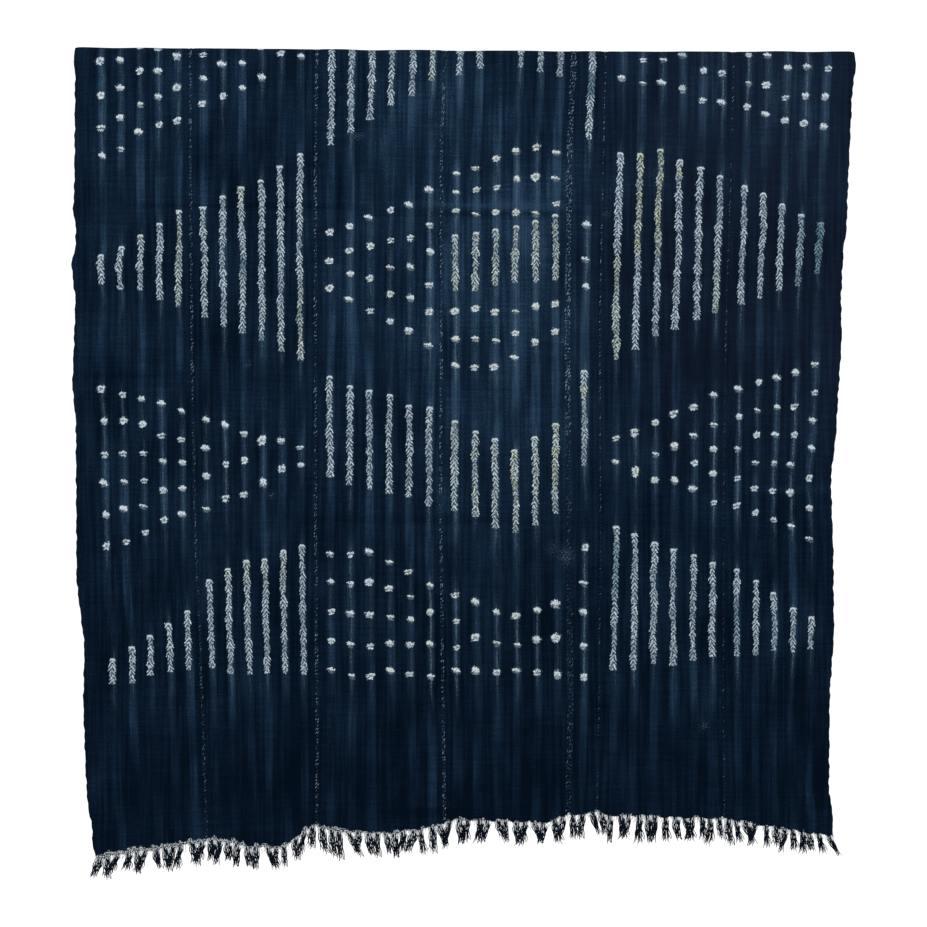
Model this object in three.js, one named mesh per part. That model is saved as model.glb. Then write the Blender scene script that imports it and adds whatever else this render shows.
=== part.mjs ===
// An indigo-dyed wrapper cloth hung folded over a rod: seven narrow hand-woven strips sewn
// edge to edge. The long front layer hides a shorter back one, and a fringe of warp ends
// stands along both hems. Millimetres, +Z up, the front faces -Y, and the origin is the
// middle of the top edge.

import * as THREE from 'three';

// Driving sizes
const THICKNESS = 2; // cloth with its nap
const ROD_SPACE = 28; // clear depth between the layers, where the rod goes
const GAP = 0.3; // between neighbouring pieces
const BACK_INSET = 3; // how far the back layer stays inside the front's outline
const BACK_RELIEF = -0.3; // share of the front's relief that the back layer echoes
const RELIEF_STARTS = 90; // the drop where the relief has its full depth

// How finely the cloth is divided
const FRONT_ROWS = 32;
const FOLD_ROWS = 8;
const BACK_ROWS = 12;

// Fringe
const BACKING = 3; // height of the strip that holds the roots
const ROOT_WIDTH = 6.6;
const TIP_WIDTH = 3.2;
const KNEE = 0.45; // where a lock bends, as a share of its length
const KNEE_SWAY = 1.1;
const TIP_SWAY = 1.5;
const UNEVEN_LENGTH = 4;
const TIP_THINNING = 0.5; // share of a lock's depth that is lost at its tip
const THINNED_OVER = 24; // length over which that happens
const FRINGE_SEED = 41;

const FOLD_RADIUS = (ROD_SPACE + THICKNESS) / 2; // to the middle of the cloth
const FOLD_DROP = FOLD_RADIUS + THICKNESS / 2; // where the layers start to hang straight

// Height of the top edge, which slopes a little
const CREST = [
  { x: -500, z: 4.1 },
  { x: -209, z: 1.8 },
  { x: 0, z: 0 },
  { x: 225, z: -1.3 },
  { x: 500, z: -1.3 },
];

// The two selvedges, by the drop below the origin
const LEFT_EDGE = [
  { drop: 0, x: -499 },
  { drop: 30, x: -496 },
  { drop: 178, x: -497 },
  { drop: 203, x: -499 },
  { drop: 232, x: -494.5 },
  { drop: 252, x: -495.5 },
  { drop: 275, x: -501 },
  { drop: 320, x: -495.5 },
  { drop: 430, x: -499.5 },
  { drop: 475, x: -495 },
  { drop: 680, x: -494 },
  { drop: 761, x: -484 },
  { drop: 836, x: -485.5 },
  { drop: 933, x: -482 },
  { drop: 973, x: -479 },
  { drop: 985, x: -475 },
  { drop: 1015, x: -473.5 },
  { drop: 1036, x: -469 },
];
const RIGHT_EDGE = [
  { drop: 0, x: 499.5 },
  { drop: 24, x: 501 },
  { drop: 53, x: 496.5 },
  { drop: 162, x: 491.5 },
  { drop: 231, x: 489 },
  { drop: 249, x: 485.5 },
  { drop: 320, x: 482 },
  { drop: 370, x: 483 },
  { drop: 449, x: 478 },
  { drop: 494, x: 475.5 },
  { drop: 547, x: 469 },
  { drop: 640, x: 472 },
  { drop: 748, x: 473 },
  { drop: 822, x: 467.5 },
  { drop: 950, x: 466.5 },
  { drop: 966, x: 470.5 },
  { drop: 1006, x: 472 },
];

// The six seams between the strips, from the left
const SEAMS = [
  { drop: 0, s1: -349, s2: -187, s3: -23, s4: 142, s5: 182, s6: 345 },
  { drop: 116, s1: -349, s2: -189, s3: -28, s4: 136, s5: 179, s6: 343 },
  { drop: 358, s1: -347, s2: -189, s3: -28, s4: 133, s5: 174, s6: 335 },
  { drop: 601, s1: -343, s2: -189, s3: -29, s4: 135, s5: 175, s6: 332 },
  { drop: 831, s1: -334, s2: -187, s3: -26, s4: 137, s5: 173, s6: 332 },
  { drop: 1000, s1: -328, s2: -187, s3: -24, s4: 133, s5: 170, s6: 333 },
];

// The uneven front hem, and the hidden back one
const FRONT_HEM = [
  { x: -469, drop: 1034 },
  { x: -425, drop: 1026 },
  { x: -385, drop: 1021 },
  { x: -327, drop: 1011 },
  { x: -307, drop: 1011 },
  { x: -274, drop: 1020 },
  { x: -228, drop: 1020 },
  { x: -202, drop: 998 },
  { x: -187, drop: 992 },
  { x: -163, drop: 999 },
  { x: -96, drop: 1002 },
  { x: -40, drop: 994 },
  { x: -8, drop: 984 },
  { x: 52, drop: 986 },
  { x: 108, drop: 989 },
  { x: 133, drop: 977 },
  { x: 149, drop: 979 },
  { x: 165, drop: 972 },
  { x: 182, drop: 978 },
  { x: 317, drop: 982 },
  { x: 376, drop: 990 },
  { x: 435, drop: 1000 },
  { x: 472, drop: 1005 },
];
const BACK_HEM = [
  { x: -496, drop: 598 },
  { x: -345, drop: 606 },
  { x: -189, drop: 601 },
  { x: -28, drop: 610 },
  { x: 135, drop: 612 },
  { x: 175, drop: 607 },
  { x: 333, drop: 603 },
  { x: 470, drop: 596 },
];

// Where the fringe tips reach below the hem, and how far they lean sideways
const FRINGE_REACH = [
  { x: -470, length: 26, lean: -9 },
  { x: -440, length: 24, lean: -4 },
  { x: -370, length: 27, lean: 0 },
  { x: -300, length: 25, lean: -2 },
  { x: -200, length: 28, lean: 2 },
  { x: -160, length: 32, lean: 3 },
  { x: -60, length: 28, lean: 1 },
  { x: -10, length: 30, lean: -1 },
  { x: 90, length: 27, lean: 1 },
  { x: 150, length: 32, lean: -2 },
  { x: 210, length: 33, lean: 1 },
  { x: 330, length: 29, lean: 3 },
  { x: 400, length: 24, lean: 2 },
  { x: 472, length: 27, lean: 8 },
];

// Soft swells and hollows of the hanging cloth, each an oval bump with its half sizes
const SWELLS = [
  { x: -470, drop: 205, wide: 60, tall: 22, depth: -2 },
  { x: -485, drop: 240, wide: 50, tall: 20, depth: 3 },
  { x: -490, drop: 280, wide: 60, tall: 24, depth: -2 },
  { x: 475, drop: 240, wide: 60, tall: 26, depth: 3 },
  { x: -430, drop: 640, wide: 55, tall: 330, depth: 3 },
  { x: -300, drop: 820, wide: 60, tall: 260, depth: -3 },
  { x: -110, drop: 700, wide: 80, tall: 400, depth: 2.5 },
  { x: 60, drop: 860, wide: 70, tall: 260, depth: -2.5 },
  { x: 180, drop: 900, wide: 60, tall: 240, depth: 2.5 },
  { x: 300, drop: 760, wide: 60, tall: 320, depth: -2.5 },
  { x: 430, drop: 780, wide: 60, tall: 340, depth: 3.5 },
  { x: -50, drop: 208, wide: 280, tall: 12, depth: -1.6 },
];

const STRIPS = [
  { name: 'strip_1', left: 'left', right: 's1', columns: 5, locks: 12 },
  { name: 'strip_2', left: 's1', right: 's2', columns: 6, locks: 12 },
  { name: 'strip_3', left: 's2', right: 's3', columns: 5, locks: 14 },
  { name: 'strip_4', left: 's3', right: 's4', columns: 5, locks: 13 },
  { name: 'strip_5', left: 's4', right: 's5', columns: 2, locks: 3 },
  { name: 'strip_6', left: 's5', right: 's6', columns: 5, locks: 14 },
  { name: 'strip_7', left: 's6', right: 'right', columns: 5, locks: 12 },
];

const CLOTH = new THREE.MeshStandardMaterial({ color: '#111c30', roughness: 0.9, metalness: 0 });
const YARN = new THREE.MeshStandardMaterial({ color: '#1b2433', roughness: 0.95, metalness: 0 });

// A column of a table at a place along its rows, straight between them
function readOff(table, key, column, at) {
  const after = table.findIndex((row) => row[key] > at);
  if (after === 0) return table[0][column];
  if (after < 0) return table[table.length - 1][column];
  const [low, high] = [table[after - 1], table[after]];
  return THREE.MathUtils.mapLinear(at, low[key], high[key], low[column], high[column]);
}

function crestHeight(x) {
  return readOff(CREST, 'x', 'z', x);
}

// How far a point of the front layer stands forward of a straight hang
function relief(x, drop) {
  const oval = ({ x: cx, drop: cd, wide, tall, depth }) =>
    depth * Math.exp(-(((x - cx) / wide) ** 2) - ((drop - cd) / tall) ** 2);
  const swell = SWELLS.reduce((sum, row) => sum + oval(row), 0);
  return swell * THREE.MathUtils.smoothstep(drop, FOLD_DROP, RELIEF_STARTS);
}

const LAYERS = {
  front: { hem: FRONT_HEM, side: -1, inset: 0, echo: 1 },
  back: { hem: BACK_HEM, side: 1, inset: BACK_INSET, echo: BACK_RELIEF },
};

// One side of a strip: a selvedge, drawn in on the back layer, or half a gap from a seam
function edgeAt(edge, drop, layer) {
  if (edge === 'left') return readOff(LEFT_EDGE, 'drop', 'x', drop) + layer.inset;
  if (edge === 'right') return readOff(RIGHT_EDGE, 'drop', 'x', drop) - layer.inset;
  return readOff(SEAMS, 'drop', edge, drop);
}

function acrossStrip(strip, share, drop, layer) {
  const left = edgeAt(strip.left, drop, layer) + (strip.left === 'left' ? 0 : GAP / 2);
  const right = edgeAt(strip.right, drop, layer) - (strip.right === 'right' ? 0 : GAP / 2);
  return THREE.MathUtils.lerp(left, right, share);
}

// Where the strip ends, at a share of its width
function hemPoint(strip, share, layer) {
  const roughly = readOff(layer.hem, 'x', 'drop', acrossStrip(strip, share, layer.hem[0].drop, layer));
  const x = acrossStrip(strip, share, roughly, layer);
  return { x, drop: readOff(layer.hem, 'x', 'drop', x) };
}

// The middle of a hanging layer
function depthOf(layer, x, drop) {
  return layer.side * (FOLD_RADIUS + layer.echo * relief(x, drop));
}

function hangingPoint(strip, share, fall, layer, inward) {
  const hem = hemPoint(strip, share, layer);
  const start = FOLD_DROP - crestHeight(hem.x);
  const drop = THREE.MathUtils.lerp(start, hem.drop, fall);
  const x = acrossStrip(strip, share, drop, layer);
  const y = depthOf(layer, x, drop) - (layer.side * inward * THICKNESS) / 2;
  return [x, y, -drop];
}

function foldPoint(strip, share, turn, inward) {
  const front = acrossStrip(strip, share, FOLD_DROP, LAYERS.front);
  const back = acrossStrip(strip, share, FOLD_DROP, LAYERS.back);
  const x = THREE.MathUtils.lerp(front, back, turn);
  const radius = FOLD_RADIUS - (inward * THICKNESS) / 2;
  const angle = turn * Math.PI;
  const centre = crestHeight(x) - FOLD_DROP;
  return [x, -radius * Math.cos(angle), centre + radius * Math.sin(angle)];
}

// A point of the strip: row 0 is the front hem, and the last row is the back hem
function stripPoint(strip, share, row, inward) {
  if (row <= FRONT_ROWS) return hangingPoint(strip, share, 1 - row / FRONT_ROWS, LAYERS.front, inward);
  const overFold = row - FRONT_ROWS;
  if (overFold < FOLD_ROWS) return foldPoint(strip, share, overFold / FOLD_ROWS, inward);
  return hangingPoint(strip, share, (overFold - FOLD_ROWS) / BACK_ROWS, LAYERS.back, inward);
}

// One strip of cloth: a divided slab laid along the hanging path
function foldedStrip(strip) {
  const rows = FRONT_ROWS + FOLD_ROWS + BACK_ROWS;
  const slab = new THREE.BoxGeometry(1, 2, rows, strip.columns, 1, rows);
  const points = slab.attributes.position;
  for (let i = 0; i < points.count; i += 1) {
    const share = points.getX(i) + 0.5;
    const row = Math.round(points.getZ(i) + rows / 2);
    points.setXYZ(i, ...stripPoint(strip, share, row, points.getY(i)));
  }
  slab.computeVertexNormals();
  const mesh = new THREE.Mesh(slab, CLOTH);
  mesh.name = strip.name;
  return mesh;
}

// The hem as the strip's own columns draw it
function hemLine(strip, layer) {
  const points = [];
  for (let i = 0; i <= strip.columns; i += 1) {
    const { x, drop } = hemPoint(strip, i / strip.columns, layer);
    points.push({ x, z: -drop });
  }
  return points;
}

function sway(most) {
  return (THREE.MathUtils.seededRandom() * 2 - 1) * most;
}

// The outline of one lock, from its root on the right to its root on the left
function lockOutline(rootX, rootZ, { length, lean }) {
  const kneeX = rootX + lean * KNEE + sway(KNEE_SWAY);
  const tipX = rootX + lean + sway(TIP_SWAY);
  const tall = length + sway(UNEVEN_LENGTH);
  const kneeWidth = THREE.MathUtils.lerp(ROOT_WIDTH, TIP_WIDTH, KNEE);
  return [
    { x: rootX + ROOT_WIDTH / 2, z: rootZ },
    { x: kneeX + kneeWidth / 2, z: rootZ - tall * KNEE },
    { x: tipX + TIP_WIDTH / 2, z: rootZ - tall },
    { x: tipX - TIP_WIDTH / 2, z: rootZ - tall },
    { x: kneeX - kneeWidth / 2, z: rootZ - tall * KNEE },
    { x: rootX - ROOT_WIDTH / 2, z: rootZ },
  ];
}

// The outline of one strip's fringe: a comb of locks below a narrow backing
function combOutline(strip, hem, foot) {
  const top = hem.map(({ x, z }) => ({ x, z: z - GAP }));
  const outline = [...top, foot[foot.length - 1]];
  const [first, last] = [hem[0].x, hem[hem.length - 1].x];
  for (let k = strip.locks - 1; k >= 0; k -= 1) {
    const rootX = THREE.MathUtils.lerp(first, last, (k + 0.5) / strip.locks);
    const reach = {
      length: readOff(FRINGE_REACH, 'x', 'length', rootX),
      lean: readOff(FRINGE_REACH, 'x', 'lean', rootX),
    };
    outline.push(...lockOutline(rootX, readOff(foot, 'x', 'z', rootX), reach));
  }
  outline.push(foot[0]);
  return outline;
}

// The warp ends of one strip, cut from a slab that follows the layer's relief
function fringe(strip, layerName) {
  const layer = LAYERS[layerName];
  const hem = hemLine(strip, layer);
  const foot = hem.map(({ x, z }) => ({ x, z: z - GAP - BACKING }));
  const outline = combOutline(strip, hem, foot).map(({ x, z }) => new THREE.Vector2(x, z));
  const comb = new THREE.ExtrudeGeometry(new THREE.Shape(outline), {
    depth: THICKNESS,
    bevelEnabled: false,
  });
  const points = comb.attributes.position;
  for (let i = 0; i < points.count; i += 1) {
    const [x, z] = [points.getX(i), points.getY(i)];
    const below = THREE.MathUtils.clamp((readOff(foot, 'x', 'z', x) - z) / THINNED_OVER, 0, 1);
    const outward = (THICKNESS / 2 - points.getZ(i)) * (1 - TIP_THINNING * below);
    points.setXYZ(i, x, depthOf(layer, x, -z) + outward, z);
  }
  comb.computeVertexNormals();
  const mesh = new THREE.Mesh(comb, YARN);
  mesh.name = `fringe_${layerName}_${strip.name.slice(-1)}`;
  return mesh;
}

THREE.MathUtils.seededRandom(FRINGE_SEED);
const cloth = new THREE.Group();
for (const strip of STRIPS) {
  cloth.add(foldedStrip(strip));
  cloth.add(fringe(strip, 'front'));
  cloth.add(fringe(strip, 'back'));
}

export default cloth;
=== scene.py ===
import math

import bpy
import numpy as np
from mathutils import Matrix, Vector


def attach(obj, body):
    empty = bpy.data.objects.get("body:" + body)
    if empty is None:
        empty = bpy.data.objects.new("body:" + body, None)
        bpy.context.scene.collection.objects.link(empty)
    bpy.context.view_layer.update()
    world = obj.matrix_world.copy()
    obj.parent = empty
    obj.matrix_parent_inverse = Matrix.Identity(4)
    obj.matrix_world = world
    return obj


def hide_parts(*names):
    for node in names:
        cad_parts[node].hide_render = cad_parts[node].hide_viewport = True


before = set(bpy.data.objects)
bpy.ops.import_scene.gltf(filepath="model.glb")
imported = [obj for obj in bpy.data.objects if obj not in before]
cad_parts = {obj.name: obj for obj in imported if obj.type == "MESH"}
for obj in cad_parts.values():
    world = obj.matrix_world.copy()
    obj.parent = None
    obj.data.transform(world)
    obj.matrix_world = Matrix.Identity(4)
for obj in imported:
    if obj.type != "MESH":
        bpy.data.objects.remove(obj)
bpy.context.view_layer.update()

# Sizes in millimetres, as the part has them: the thickness of its strips, the clear depth between
# the layers, the gaps at the seams, how far the back's selvedges stand in from the front's, how the
# back's swells follow the front's, and how far below the top the swells are whole
MM = 0.001
THICKNESS = 2.0
ROD_SPACE = 28.0
GAP = 0.3
BACK_INSET = 3.0
BACK_RELIEF = -0.3
RELIEF_STARTS = 90.0
FOLD_RADIUS = (ROD_SPACE + THICKNESS) / 2
FOLD_DROP = FOLD_RADIUS + THICKNESS / 2
FOLD_LENGTH = math.pi * FOLD_RADIUS
SEED = 41

# The cloth is laid a little thinner than the part's strips, which leaves room for its puckers
CLOTH_THICKNESS = 1.7

# How far below the top the strips' widths are measured
MEASURED_AT = 400.0

# How finely a strip is divided
FRONT_ROWS = 230
FOLD_ROWS = 18
BACK_ROWS = 126
CELL_WIDTH = 4.2

# Height of the top edge, the selvedges, the seams, the two hems and the fringe, each by where it is
# across or down the cloth
CREST = {"x": (-500, -209, 0, 225, 500), "z": (4.1, 1.8, 0, -1.3, -1.3)}
LEFT_EDGE = {
    "drop": (0, 30, 178, 203, 232, 252, 275, 320, 430, 475, 680, 761, 836, 933, 973, 985, 1015, 1036),
    "x": (-499, -496, -497, -499, -494.5, -495.5, -501, -495.5, -499.5, -495, -494, -484, -485.5,
          -482, -479, -475, -473.5, -469),
}
RIGHT_EDGE = {
    "drop": (0, 24, 53, 162, 231, 249, 320, 370, 449, 494, 547, 640, 748, 822, 950, 966, 1006),
    "x": (499.5, 501, 496.5, 491.5, 489, 485.5, 482, 483, 478, 475.5, 469, 472, 473, 467.5, 466.5,
          470.5, 472),
}
SEAMS = {
    "drop": (0, 116, 358, 601, 831, 1000),
    "s1": (-349, -349, -347, -343, -334, -328),
    "s2": (-187, -189, -189, -189, -187, -187),
    "s3": (-23, -28, -28, -29, -26, -24),
    "s4": (142, 136, 133, 135, 137, 133),
    "s5": (182, 179, 174, 175, 173, 170),
    "s6": (345, 343, 335, 332, 332, 333),
}
FRONT_HEM = {
    "x": (-469, -425, -385, -327, -307, -274, -228, -202, -187, -163, -96, -40, -8, 52, 108, 133,
          149, 165, 182, 317, 376, 435, 472),
    "drop": (1034, 1026, 1021, 1011, 1011, 1020, 1020, 998, 992, 999, 1002, 994, 984, 986, 989,
             977, 979, 972, 978, 982, 990, 1000, 1005),
}
BACK_HEM = {
    "x": (-496, -345, -189, -28, 135, 175, 333, 470),
    "drop": (598, 606, 601, 610, 612, 607, 603, 596),
}
FRINGE_REACH = {
    "x": (-470, -440, -370, -300, -200, -160, -60, -10, 90, 150, 210, 330, 400, 472),
    "length": (26, 24, 27, 25, 28, 32, 28, 30, 27, 32, 33, 29, 24, 27),
    "lean": (-9, -4, 0, -2, 2, 3, 1, -1, 1, -2, 1, 3, 2, 8),
}

# Swells of the whole hanging, which the part has too, then the sharper creases of the cloth alone
SWELLS = [
    {"x": -470, "drop": 205, "wide": 60, "tall": 22, "depth": -2},
    {"x": -485, "drop": 240, "wide": 50, "tall": 20, "depth": 3},
    {"x": -490, "drop": 280, "wide": 60, "tall": 24, "depth": -2},
    {"x": 475, "drop": 240, "wide": 60, "tall": 26, "depth": 3},
    {"x": -430, "drop": 640, "wide": 55, "tall": 330, "depth": 3},
    {"x": -300, "drop": 820, "wide": 60, "tall": 260, "depth": -3},
    {"x": -110, "drop": 700, "wide": 80, "tall": 400, "depth": 2.5},
    {"x": 60, "drop": 860, "wide": 70, "tall": 260, "depth": -2.5},
    {"x": 180, "drop": 900, "wide": 60, "tall": 240, "depth": 2.5},
    {"x": 300, "drop": 760, "wide": 60, "tall": 320, "depth": -2.5},
    {"x": 430, "drop": 780, "wide": 60, "tall": 340, "depth": 3.5},
    {"x": -50, "drop": 208, "wide": 280, "tall": 12, "depth": -1.6},
]
# The creases' depths are also painted into the cloth's colour: painted light where one stands out, painted
# shade where one sinks
CREASES = [
    {"x": 20, "drop": 199, "wide": 120, "tall": 4, "depth": 0.8},
    {"x": 30, "drop": 210, "wide": 100, "tall": 4, "depth": -0.8},
    {"x": -250, "drop": 202, "wide": 170, "tall": 4, "depth": -0.6},
    {"x": 265, "drop": 288, "wide": 42, "tall": 4, "depth": -0.7},
    {"x": -60, "drop": 601, "wide": 160, "tall": 5, "depth": -0.5},
    {"x": -40, "drop": 975, "wide": 50, "tall": 6, "depth": -0.8},
    {"x": 420, "drop": 560, "wide": 60, "tall": 5, "depth": 0.5},
    {"x": -430, "drop": 420, "wide": 70, "tall": 5, "depth": -0.5},
]

# The strips, with the resist columns that run down each: their numbers from the cloth's left,
# and the shares of the width where the first and the last of them stand at the top and the hem
STRIPS = [
    {"name": "strip_1", "left": "left", "right": "s1", "locks": 12, "columns": (1, 5),
     "top_shares": (0.228, 0.89), "hem_shares": (0.258, 0.906)},
    {"name": "strip_2", "left": "s1", "right": "s2", "locks": 12, "columns": (6, 11),
     "top_shares": (0.10, 0.87), "hem_shares": (0.10, 0.89)},
    {"name": "strip_3", "left": "s2", "right": "s3", "locks": 14, "columns": (12, 17),
     "top_shares": (0.116, 0.908), "hem_shares": (0.11, 0.90)},
    {"name": "strip_4", "left": "s3", "right": "s4", "locks": 13, "columns": (18, 23),
     "top_shares": (0.114, 0.899), "hem_shares": (0.10, 0.895)},
    {"name": "strip_5", "left": "s4", "right": "s5", "locks": 3, "columns": (24, 24),
     "top_shares": (0.57, 0.57), "hem_shares": (0.42, 0.42)},
    {"name": "strip_6", "left": "s5", "right": "s6", "locks": 14, "columns": (25, 30),
     "top_shares": (0.132, 0.919), "hem_shares": (0.112, 0.908)},
    {"name": "strip_7", "left": "s6", "right": "right", "locks": 12, "columns": (31, 35),
     "top_shares": (0.119, 0.769), "hem_shares": (0.124, 0.807)},
]
COLUMN_PITCH = 25.0
COLUMN_OFFSET = 0.9
DOT_PITCH = 37.0

# Bands of marks: what each column has between its top and its low end, in millimetres down the
# cloth, given at a few columns and even between them. Less than zero lies over the fold. Dots are
# DOT_PITCH apart, where a band doesn't give its own pitch or its number of dots.
BANDS = [
    {"kind": "dots", "columns": (1, 11), "top": (-64, 12), "low": (137, 12)},
    {"kind": "line", "columns": (1, 4, 9, 11), "top": (268, 222, 168, 134), "low": (301, 320, 377, 397)},
    {"kind": "dots", "columns": (1, 11), "top": (434, 510), "low": (638, 531)},
    {"kind": "line", "columns": (1, 5, 6, 11), "top": (781, 716, 676, 630), "low": (813, 797, 796, 799)},
    {"kind": "line", "columns": (12, 17, 20, 23), "top": (-80, -39, 4, -21), "low": (122, 40, 12, 36)},
    {"kind": "line", "columns": (24, 24), "top": (-89, -89), "low": (115, 115)},
    {"kind": "dots", "columns": (12, 17), "top": (238, 182), "low": (303, 374)},
    {"kind": "dots", "columns": (18, 22, 23), "top": (155, 118, 130), "low": (208, 200, 191), "dots": 3},
    {"kind": "line", "columns": (18, 23), "top": (234, 213), "low": (309, 293)},
    {"kind": "dots", "columns": (18, 20, 23), "top": (334, 331, 326), "low": (402, 406, 358), "pitch": 32},
    {"kind": "dots", "columns": (24, 24), "top": (223, 223), "low": (302, 302)},
    {"kind": "line", "columns": (12, 17, 21, 23, 24), "top": (418, 459, 509, 477, 409),
     "low": (549, 582, 619, 596, 532)},
    {"kind": "dots", "columns": (12, 15, 18, 21, 23, 24), "top": (641, 649, 694, 727, 707, 634),
     "low": (793, 796, 796, 793, 796, 797)},
    {"kind": "dots", "columns": (25, 35), "top": (-8, -100), "low": (30, 99)},
    {"kind": "line", "columns": (25, 27, 31, 35), "top": (130, 126, 172, 219),
     "low": (393, 368, 323, 289)},
    {"kind": "dots", "columns": (25, 35), "top": (490, 398), "low": (526, 615)},
    {"kind": "line", "columns": (25, 31, 35), "top": (607, 665, 724), "low": (794, 771, 763)},
]
MARK_JITTER = 4.0
SHORTEST_LINE = 12.0

# The hidden back carries the pattern on: the bands whose middle lies between these, a repeat higher
REPEAT = 498.0
BACK_BANDS_FROM = 110.0
BACK_BANDS_TO = 410.0

# Yellowed and greenish marks, by columns and by millimetres down the cloth
TINTS = [
    {"tint": "warm", "columns": (3, 3), "down": (100, 245), "much": 0.5},
    {"tint": "warm", "columns": (5, 5), "down": (212, 332), "much": 0.5},
    {"tint": "warm", "columns": (8, 8), "down": (178, 215), "much": 0.6},
    {"tint": "warm", "columns": (11, 11), "down": (300, 397), "much": 0.6},
    {"tint": "warm", "columns": (12, 16), "down": (238, 330), "much": 0.3},
    {"tint": "warm", "columns": (17, 17), "down": (-20, 40), "much": 0.6},
    {"tint": "warm", "columns": (18, 23), "down": (118, 406), "much": 0.5},
    {"tint": "warm", "columns": (25, 25), "down": (262, 393), "much": 0.6},
    {"tint": "warm", "columns": (26, 27), "down": (126, 262), "much": 1.0},
    {"tint": "warm", "columns": (28, 28), "down": (144, 160), "much": 1.0},
    {"tint": "warm", "columns": (30, 30), "down": (270, 341), "much": 0.5},
    {"tint": "warm", "columns": (24, 24), "down": (426, 454), "much": 0.7},
    {"tint": "warm", "columns": (18, 23), "down": (470, 620), "much": 0.35},
    {"tint": "warm", "columns": (21, 21), "down": (505, 600), "much": 0.8},
    {"tint": "warm", "columns": (23, 23), "down": (475, 560), "much": 0.8},
    {"tint": "warm", "columns": (25, 28), "down": (470, 560), "much": 0.45},
    {"tint": "warm", "columns": (7, 10), "down": (640, 690), "much": 0.45},
    {"tint": "warm", "columns": (15, 22), "down": (650, 797), "much": 0.3},
    {"tint": "cool", "columns": (35, 35), "down": (215, 292), "much": 1.0},
    {"tint": "cool", "columns": (34, 34), "down": (213, 302), "much": 0.6},
    {"tint": "cool", "columns": (24, 24), "down": (30, 60), "much": 0.9},
    {"tint": "cool", "columns": (8, 8), "down": (265, 295), "much": 0.6},
    {"tint": "cool", "columns": (25, 25), "down": (627, 703), "much": 0.7},
    {"tint": "cool", "columns": (31, 31), "down": (703, 767), "much": 0.6},
    {"tint": "cool", "columns": (28, 28), "down": (-5, 50), "much": 0.8},
    {"tint": "cool", "columns": (4, 4), "down": (492, 592), "much": 0.4},
]

# Where the dye took less, or more: oval patches and how much lighter they are
WASHES = [
    {"x": -430, "drop": 90, "wide": 120, "tall": 130, "much": 0.22},
    {"x": -60, "drop": 60, "wide": 110, "tall": 110, "much": 0.5},
    {"x": 60, "drop": 250, "wide": 90, "tall": 130, "much": 0.9},
    {"x": 60, "drop": 470, "wide": 90, "tall": 150, "much": 0.5},
    {"x": 260, "drop": 60, "wide": 90, "tall": 120, "much": 0.35},
    {"x": 420, "drop": 70, "wide": 90, "tall": 120, "much": 0.55},
    {"x": -110, "drop": 310, "wide": 90, "tall": 150, "much": 0.38},
    {"x": 0, "drop": 1000, "wide": 900, "tall": 260, "much": -0.35},
]

# Places where the nap is rubbed pale
SCUFFS = [
    {"x": -136, "drop": 112, "wide": 9, "tall": 3, "much": 0.6},
    {"x": 131, "drop": 646, "wide": 8, "tall": 9, "much": 0.75},
    {"x": 114, "drop": 636, "wide": 7, "tall": 8, "much": 0.3},
    {"x": -276, "drop": 404, "wide": 3, "tall": 3, "much": 0.8},
    {"x": -245, "drop": 572, "wide": 3, "tall": 3, "much": 0.7},
    {"x": 182, "drop": 210, "wide": 4, "tall": 3, "much": 0.7},
    {"x": 308, "drop": 863, "wide": 4, "tall": 4, "much": 0.6},
    {"x": 127, "drop": 372, "wide": 6, "tall": 3, "much": 0.5},
]

SWAYS = np.random.default_rng(SEED)


def stray(far):
    """A random distance, up to this far either way."""
    return SWAYS.uniform(-far, far)


def read_off(table, key, column, at):
    """A column of a table at places along another column, straight between its rows."""
    return np.interp(at, table[key], table[column])


def oval_sum(ovals, x, drop, column):
    """The sum of soft ovals at places across and down, each as strong as its own column says."""
    total = np.zeros(np.broadcast(x, drop).shape)
    for oval in ovals:
        across = (x - oval["x"]) / oval["wide"]
        down = (drop - oval["drop"]) / oval["tall"]
        total = total + oval[column] * np.exp(-(across**2) - down**2)
    return total


def smooth_step(value, low, high):
    """0 where the value is low or less, 1 at high or more, and smooth between."""
    share = np.clip((value - low) / (high - low), 0, 1)
    return share * share * (3 - 2 * share)


# Where each point of the cloth hangs

LAYERS = {
    "front": {"hem": FRONT_HEM, "side": -1, "inset": 0.0, "echo": 1.0, "lean": 1.0},
    "back": {"hem": BACK_HEM, "side": 1, "inset": BACK_INSET, "echo": BACK_RELIEF, "lean": -0.6},
}

# The small unevenness of a cut and pulled hem, in waves: how tall, how long and where they start.
# The selvedges take a share of it.
HEM_WAVES = ((1.0, 31.0, 0.4), (0.8, 13.0, 2.1), (0.5, 6.1, 4.0))
EDGE_WAVER = 0.45


def edge_at(edge, drop, layer):
    """Where a selvedge or a seam stands, left or right of the middle."""
    if edge == "left":
        return read_off(LEFT_EDGE, "drop", "x", drop) + layer["inset"] + EDGE_WAVER * hem_waver(drop)
    if edge == "right":
        return read_off(RIGHT_EDGE, "drop", "x", drop) - layer["inset"] - EDGE_WAVER * hem_waver(drop)
    return read_off(SEAMS, "drop", edge, drop)


def across_strip(strip, share, drop, layer):
    """Where a share of a strip's width is, left or right of the middle."""
    left = edge_at(strip["left"], drop, layer) + (0 if strip["left"] == "left" else GAP / 2)
    right = edge_at(strip["right"], drop, layer) - (0 if strip["right"] == "right" else GAP / 2)
    return left + (right - left) * share


def hem_waver(x):
    return sum(tall * np.sin(2 * math.pi * x / long + start) for tall, long, start in HEM_WAVES)


def hem_drop_at(layer, x):
    return read_off(layer["hem"], "x", "drop", x) + hem_waver(x)


def hem_point(strip, share, layer):
    """Where a share of a strip's width meets the hem: how far left or right, and how far down."""
    first_x = across_strip(strip, share, layer["hem"]["drop"][0], layer)
    roughly = read_off(layer["hem"], "x", "drop", first_x)
    x = across_strip(strip, share, roughly, layer)
    return x, hem_drop_at(layer, x)


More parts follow.
